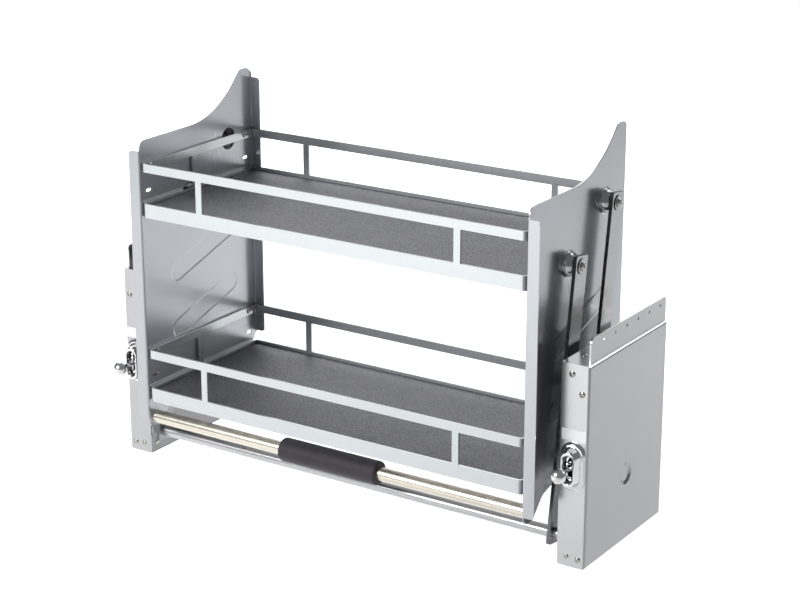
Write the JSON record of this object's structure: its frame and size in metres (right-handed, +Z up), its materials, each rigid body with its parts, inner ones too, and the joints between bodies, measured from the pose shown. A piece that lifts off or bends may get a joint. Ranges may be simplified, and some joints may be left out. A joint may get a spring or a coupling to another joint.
{
  "type": "pull-down cabinet shelf basket",
  "caption": "Pull-down two-tier basket for a wall cabinet, carried by parallel swing arms on spring casings that fix to the cabinet's sides.",
  "frame": {"origin": "middle of the overall box at rest, on the plane of the casings' lower ends", "axes": "+X to the right seen from the front, along the width between the cabinet's sides; +Y to the back of the cabinet; +Z up"},
  "size_m": [0.764, 0.2678, 0.546],
  "materials": {
    "casing_sheet": "satin bright plated sheet steel, folded",
    "panel_sheet": "smooth satin stainless sheet with soft mirror reflections",
    "tray_steel": "polished flat bar",
    "base_sheet": "plain sheet under the mat",
    "tray_mat": "matt grey non-slip mat with a fine grain",
    "arm_steel": "bright nickel-plated flat bar with eased edges",
    "pivot_chrome": "polished cone",
    "switch_chrome": "bright chrome",
    "sync_tube_steel": "satin steel tube",
    "handle_aluminium": "polished tube with a warm tint",
    "grip_foam": "black matt foam rubber",
    "buffer_rubber": "black rubber",
    "screws": "nickel-plated cross-head screws",
    "plated_steel": "zinc-plated steel",
    "spring_wire": "oiled spring steel wire",
    "bush_plastic": "white acetal bush",
    "damper_plastic": "black moulded damper body"
  },
  "bodies": {
    "frame": {"right_outer_casing": "casing_sheet", "left_outer_casing": "casing_sheet", "right_inner_plate": "casing_sheet", "left_inner_plate": "casing_sheet", "right_casing_screws": "screws", "left_casing_screws": "screws", "right_axle_bushes": "bush_plastic", "left_axle_bushes": "bush_plastic", "right_springs": "spring_wire", "left_springs": "spring_wire", "right_spring_anchor": "plated_steel", "left_spring_anchor": "plated_steel", "right_rotary_damper": "damper_plastic", "left_rotary_damper": "damper_plastic", "right_switch_base": "switch_chrome", "left_switch_base": "switch_chrome", "right_stop_buffer": "buffer_rubber", "left_stop_buffer": "buffer_rubber"},
    "front_arms": {"right_front_arm": "arm_steel", "left_front_arm": "arm_steel", "right_front_axle": "plated_steel", "left_front_axle": "plated_steel", "sync_tube": "sync_tube_steel"},
    "rear_arms": {"right_rear_arm": "arm_steel", "left_rear_arm": "arm_steel", "right_rear_axle": "plated_steel", "left_rear_axle": "plated_steel", "right_spring_crank": "plated_steel", "left_spring_crank": "plated_steel"},
    "basket": {"right_side_panel": "panel_sheet", "left_side_panel": "panel_sheet", "right_front_pivot_cup": "pivot_chrome", "left_front_pivot_cup": "pivot_chrome", "right_rear_pivot_cup": "pivot_chrome", "left_rear_pivot_cup": "pivot_chrome", "right_front_pivot_bolt": "screws", "left_front_pivot_bolt": "screws", "right_rear_pivot_bolt": "screws", "left_rear_pivot_bolt": "screws", "handle_tube": "handle_aluminium", "handle_grip": "grip_foam", "handle_fixings": "screws", "upper_tray_rail": "tray_steel", "upper_tray_posts": "tray_steel", "upper_tray_band": "tray_steel", "upper_tray_base": "base_sheet", "upper_tray_mat": "tray_mat", "upper_tray_screws": "screws", "lower_tray_rail": "tray_steel", "lower_tray_posts": "tray_steel", "lower_tray_band": "tray_steel", "lower_tray_base": "base_sheet", "lower_tray_mat": "tray_mat", "lower_tray_screws": "screws"},
    "right_switch": {"right_switch_lever": "switch_chrome", "right_switch_ball": "switch_chrome"},
    "left_switch": {"left_switch_lever": "switch_chrome", "left_switch_ball": "switch_chrome"}
  },
  "joints": [
    {"name": "arms_pull_down", "type": "hinge", "parent": "frame", "child": "front_arms", "pos_m": [0, -0.07055, 0.035], "axis": [1, 0, 0], "range_deg": [0, 105], "stiffness_Nm_per_rad": 12, "springref_deg": -34.38},
    {"name": "rear_arms_swing", "type": "hinge", "parent": "frame", "child": "rear_arms", "pos_m": [0, 0.02495, 0.097], "axis": [1, 0, 0], "range_deg": [0, 105], "deforming": ["right_springs", "left_springs"]},
    {"name": "basket_stays_level", "type": "hinge", "parent": "front_arms", "child": "basket", "pos_m": [0, -0.01905, 0.3865], "axis": [1, 0, 0], "range_deg": [-105, 0]},
    {"name": "right_switch_tilt", "type": "hinge", "parent": "frame", "child": "right_switch", "pos_m": [0.3615, -0.07705, 0.141], "axis": [1, 0, 0], "range_deg": [-15, 15]},
    {"name": "left_switch_tilt", "type": "hinge", "parent": "frame", "child": "left_switch", "pos_m": [-0.3615, -0.07705, 0.141], "axis": [1, 0, 0], "range_deg": [-15, 15]}
  ],
  "couplings": [
    {"joint": "rear_arms_swing", "follows": "arms_pull_down", "ratio": 1},
    {"joint": "basket_stays_level", "follows": "arms_pull_down", "ratio": -1}
  ]
}
